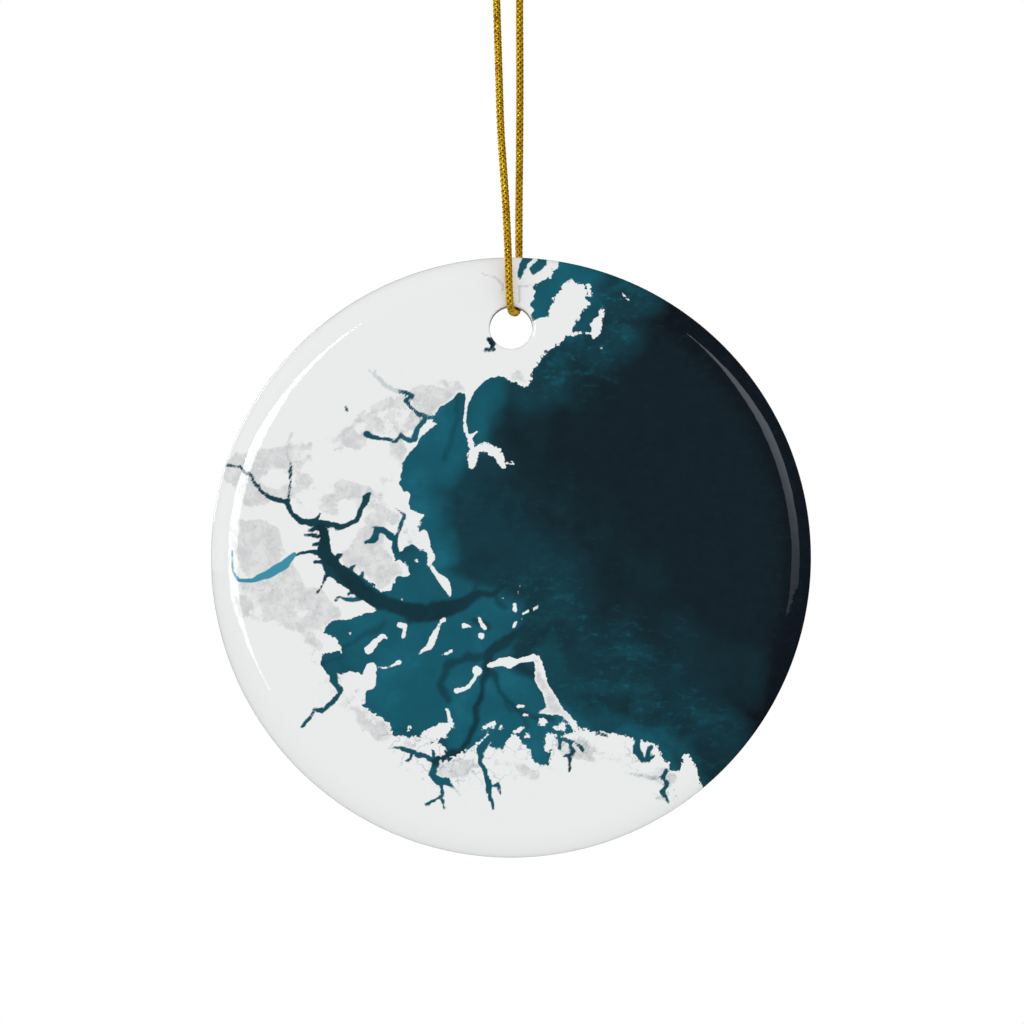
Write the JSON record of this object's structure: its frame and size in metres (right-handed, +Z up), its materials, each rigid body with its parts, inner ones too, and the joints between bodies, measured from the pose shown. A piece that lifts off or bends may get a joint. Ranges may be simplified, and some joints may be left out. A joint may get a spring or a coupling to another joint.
{
  "type": "souvenir christmas ornament",
  "caption": "Flat round glazed ceramic hanging ornament with a printed coastal picture, a small hole near its top edge and a knotted loop of thin gold metallic cord through it.",
  "frame": {"origin": "the seat where a hook holds the cord's loop, just under its knot", "axes": "+Z up along the hanging cord, +Y out of the disc's plain back, so the decorated face looks along -Y, and +X to the right as seen from the front"},
  "size_m": [0.073, 0.007, 0.1549],
  "materials": {
    "glazed_ceramic": "high-gloss glaze with a full-bleed picture on the front",
    "gold_cord": "braided gold metallic thread"
  },
  "bodies": {
    "hanger": {"cord_knot": "gold_cord", "cord_tail_left": "gold_cord", "cord_tail_right": "gold_cord", "cord_top_front": "gold_cord", "cord_top_back": "gold_cord"},
    "cord_legs": {"cord_leg_front": "gold_cord", "cord_leg_back": "gold_cord"},
    "cord_bend": {"cord_bight": "gold_cord"},
    "disc": {"ceramic_disc": "glazed_ceramic"}
  },
  "joints": [
    {"name": "cord_twist", "type": "hinge", "parent": "hanger", "child": "cord_legs", "pos_m": [0, 0, -0.01], "axis": [0, 0, 1], "range_deg": [-180, 180]},
    {"name": "disc_tilt", "type": "hinge", "parent": "cord_legs", "child": "cord_bend", "pos_m": [0, 0, -0.076], "axis": [1, 0, 0], "range_deg": [-5, 5]},
    {"name": "disc_swing", "type": "hinge", "parent": "cord_bend", "child": "disc", "pos_m": [0, 0, -0.0786], "axis": [0, 1, 0], "range_deg": [-45, 45]}
  ]
}
